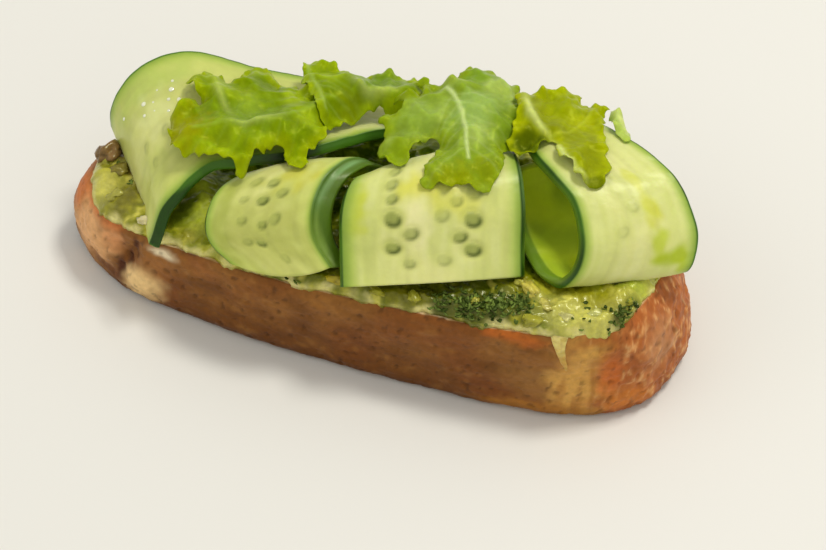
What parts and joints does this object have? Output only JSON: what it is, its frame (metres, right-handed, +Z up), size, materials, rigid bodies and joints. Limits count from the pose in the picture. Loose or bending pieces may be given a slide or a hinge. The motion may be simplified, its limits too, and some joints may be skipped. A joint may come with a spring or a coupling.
{
  "type": "avocado toast",
  "caption": "Open-faced toast: a thick crusty slice of bread with avocado spread, folded cucumber ribbons and curly lettuce leaves on top.",
  "frame": {"origin": "middle of the toast's bounding box, at the flat underside of the slice", "axes": "+X along the slice's long front edge, towards its thicker end; +Y from the front edge to the back; +Z up from the underside"},
  "size_m": [0.1468, 0.0684, 0.0526],
  "materials": {
    "crust": "rough",
    "avocado": "satin",
    "cucumber": "wet",
    "lettuce": "satin"
  },
  "bodies": {
    "root": {"bread_slice": "crust", "avocado_spread": "avocado", "cucumber_ribbon_1": "cucumber", "cucumber_ribbon_2": "cucumber", "cucumber_ribbon_3": "cucumber", "cucumber_ribbon_4": "cucumber", "lettuce_leaf_1": "lettuce", "lettuce_leaf_2": "lettuce", "lettuce_leaf_3": "lettuce", "lettuce_leaf_4": "lettuce", "lettuce_leaf_5": "lettuce"}
  },
  "joints": []
}
